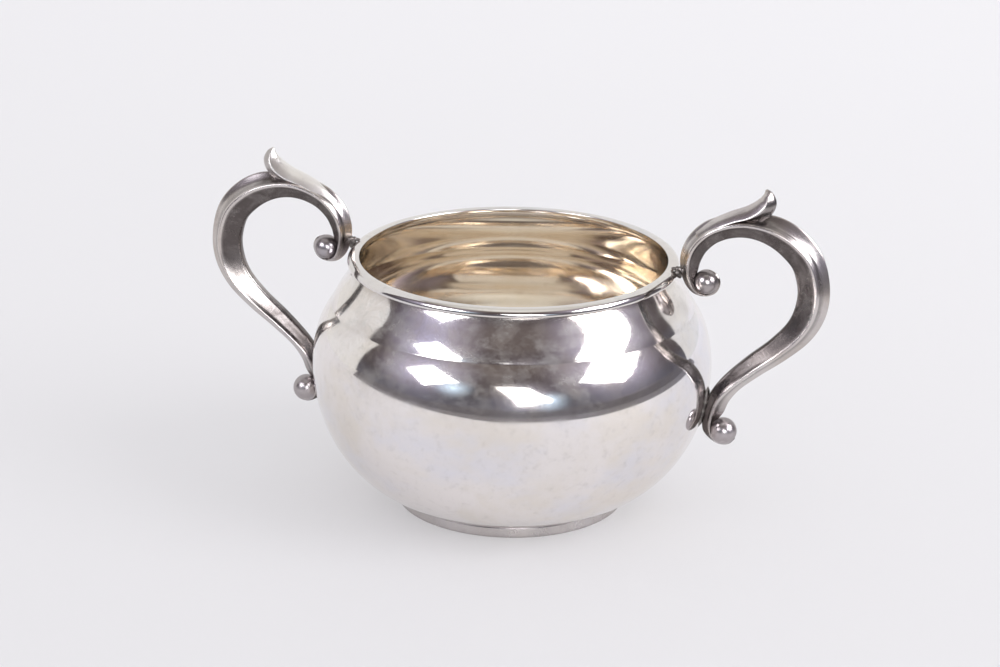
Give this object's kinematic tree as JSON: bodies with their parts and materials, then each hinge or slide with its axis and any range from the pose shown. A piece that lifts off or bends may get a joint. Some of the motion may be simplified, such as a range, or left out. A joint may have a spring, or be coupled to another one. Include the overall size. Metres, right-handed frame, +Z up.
{
  "type": "two-handled sugar bowl",
  "caption": "Open round silver bowl with a turned-in neck, a flat lip wire, a low foot ring and a pair of cast scroll handles with thumb leaves and ball-centred curls.",
  "frame": {"origin": "centre of the foot ring's resting face", "axes": "+Z up through the mouth, +X towards the right handle, the handles lie in the XZ plane"},
  "size_m": [0.1578, 0.1, 0.0862],
  "materials": {
    "bowl_silver": "polished silver with light wear",
    "lip_silver": "polished silver",
    "cast_silver": "polished cast silver with tarnish in the hollows",
    "solder": "dull, pitted silver solder"
  },
  "bodies": {
    "root": {"bowl_shell": "bowl_silver", "lip_wire": "lip_silver", "lip_solder": "solder", "foot_ring": "bowl_silver", "foot_solder": "solder", "left_scroll": "cast_silver", "left_leaf": "cast_silver", "left_upper_ball": "cast_silver", "left_lower_ball": "cast_silver", "left_upper_peg": "cast_silver", "left_upper_solder": "solder", "left_lower_solder": "solder", "right_scroll": "cast_silver", "right_leaf": "cast_silver", "right_upper_ball": "cast_silver", "right_lower_ball": "cast_silver", "right_upper_peg": "cast_silver", "right_upper_solder": "solder", "right_lower_solder": "solder"}
  },
  "joints": []
}
